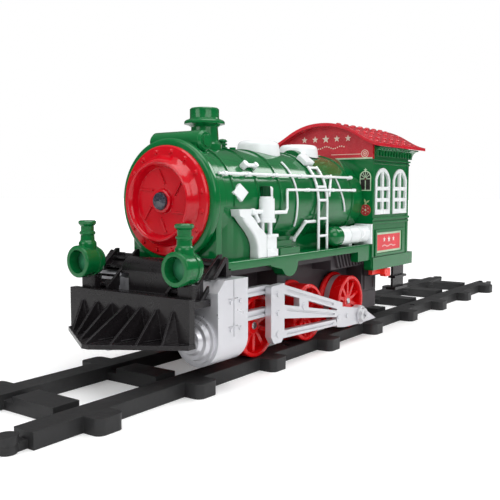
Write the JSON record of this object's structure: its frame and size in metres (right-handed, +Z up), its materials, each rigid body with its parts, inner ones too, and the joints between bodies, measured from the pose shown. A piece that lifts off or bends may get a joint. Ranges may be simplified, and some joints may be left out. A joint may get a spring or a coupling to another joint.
{
  "type": "toy steam train set with track",
  "caption": "Battery toy steam locomotive with cab, bright side rods, domes and lamps, standing on snap-together flat track.",
  "frame": {"origin": "underside of the track, on its centre line, under one of the sleepers below the locomotive", "axes": "+X is the way the locomotive drives, +Y is its left-hand side, +Z is up; the track runs along X"},
  "size_m": [0.4124, 0.065, 0.1029],
  "materials": {
    "track_black": "satin moulded, dark charcoal",
    "chassis_grey": "matte moulded",
    "green_body": "glossy moulded green",
    "red_body": "glossy moulded red",
    "wheel_red": "glossy moulded red",
    "white_trim": "glossy moulded white",
    "silver_rods": "satin silver painted plastic",
    "black_front": "semi-gloss moulded black",
    "pump_white": "glossy moulded white",
    "tank_mix": "glossy moulded white with green noses",
    "label_red": "printed sticker",
    "label_front": "printed sticker",
    "lens": "glossy disc",
    "clear_lens": "clear",
    "tyre_clear": "soft grey translucent",
    "steel": "bright steel",
    "gear_white": "natural acetal",
    "motor_can": "plated steel",
    "cell": "printed sleeve",
    "contact": "nickel plated",
    "board": "circuit board",
    "wire": "cable sleeve",
    "speaker": "black cone and frame",
    "switch_red": "glossy moulded red",
    "screw_black": "blackened steel"
  },
  "bodies": {
    "track": {"track_front": "track_black", "track_middle": "track_black", "track_rear": "track_black"},
    "locomotive": {"chassis_frame": "chassis_grey", "axle_keeper": "chassis_grey", "battery_holder": "chassis_grey", "battery_hatch": "chassis_grey", "battery_cells": "cell", "battery_contacts": "contact", "motor": "motor_can", "idler_shaft": "steel", "cylinder_left": "silver_rods", "cylinder_right": "silver_rods", "boiler_shell": "green_body", "footplate": "green_body", "cab_shell": "green_body", "cab_roof": "red_body", "window_frames": "white_trim", "side_labels": "label_red", "front_labels": "label_front", "gable_label": "label_red", "smokebox_door": "red_body", "headlight": "clear_lens", "feedwater_heater": "green_body", "chimney": "green_body", "whistle": "green_body", "sand_dome": "white_trim", "steam_dome": "white_trim", "handrails": "white_trim", "ladders": "white_trim", "air_pumps": "pump_white", "steam_pipes": "white_trim", "air_tanks": "tank_mix", "diamond_plates": "white_trim", "front_deck": "black_front", "pilot": "black_front", "lamp_left": "green_body", "lamp_right": "green_body", "lamp_lenses": "lens", "screws": "steel", "circuit_board": "board", "speaker": "speaker", "wires": "wire", "switch_body": "chassis_grey", "cab_steps": "black_front"},
    "front_wheelset": {"wheels_front": "wheel_red", "axle_front": "steel"},
    "middle_wheelset": {"wheels_middle": "wheel_red", "axle_middle": "steel"},
    "rear_wheelset": {"wheels_rear": "wheel_red", "axle_rear": "steel", "traction_tyres": "tyre_clear", "crank_screws": "screw_black", "axle_gear": "gear_white"},
    "side_rod_left": {"side_rod_left": "silver_rods"},
    "side_rod_right": {"side_rod_right": "silver_rods"},
    "idler": {"idler_gear": "gear_white"},
    "pinion": {"motor_pinion": "gear_white"},
    "switch": {"switch_lever": "switch_red"},
    "coupler": {"rear_coupler": "black_front"}
  },
  "joints": [
    {"name": "loco_travel", "type": "slide", "parent": "track", "child": "locomotive", "axis": [1, 0, 0], "range_m": [-0.1, 0.03]},
    {"name": "front_wheels_turn", "type": "hinge", "parent": "locomotive", "child": "front_wheelset", "pos_m": [0.0486, 0, 0.01725], "axis": [0, 1, 0], "range_deg": [-470.6, 141.9]},
    {"name": "middle_wheels_turn", "type": "hinge", "parent": "locomotive", "child": "middle_wheelset", "pos_m": [0.01, 0, 0.01725], "axis": [0, 1, 0], "range_deg": [-470.6, 141.9]},
    {"name": "rear_wheels_turn", "type": "hinge", "parent": "locomotive", "child": "rear_wheelset", "pos_m": [-0.0286, 0, 0.01725], "axis": [0, 1, 0], "range_deg": [-470.6, 141.9]},
    {"name": "left_rod_on_crank", "type": "hinge", "parent": "rear_wheelset", "child": "side_rod_left", "pos_m": [-0.026, 0, 0.01185], "axis": [0, 1, 0], "range_deg": [-141.9, 470.6]},
    {"name": "right_rod_on_crank", "type": "hinge", "parent": "rear_wheelset", "child": "side_rod_right", "pos_m": [-0.0312, 0, 0.02265], "axis": [0, 1, 0], "range_deg": [-141.9, 470.6]},
    {"name": "idler_turns", "type": "hinge", "parent": "locomotive", "child": "idler", "pos_m": [-0.0226, 0, 0.02764], "axis": [0, 1, 0], "range_deg": [-329.7, 1096.8]},
    {"name": "pinion_turns", "type": "hinge", "parent": "locomotive", "child": "pinion", "pos_m": [-0.01949, 0, 0.03923], "axis": [0, 1, 0], "range_deg": [-3288.5, 987.2]},
    {"name": "power_switch", "type": "slide", "parent": "locomotive", "child": "switch", "axis": [1, 0, 0], "range_m": [0, 0.004]},
    {"name": "coupler_swing", "type": "hinge", "parent": "locomotive", "child": "coupler", "pos_m": [-0.078, 0, 0.02855], "axis": [0, 0, 1], "range_deg": [-25, 25]}
  ],
  "couplings": [
    {"joint": "front_wheels_turn", "follows": "loco_travel", "rad_per_m": 81.967},
    {"joint": "middle_wheels_turn", "follows": "loco_travel", "rad_per_m": 81.967},
    {"joint": "rear_wheels_turn", "follows": "loco_travel", "rad_per_m": 81.967},
    {"joint": "left_rod_on_crank", "follows": "loco_travel", "rad_per_m": -81.967},
    {"joint": "right_rod_on_crank", "follows": "loco_travel", "rad_per_m": -81.967},
    {"joint": "idler_turns", "follows": "loco_travel", "rad_per_m": -191.26},
    {"joint": "pinion_turns", "follows": "loco_travel", "rad_per_m": 573.77}
  ]
}
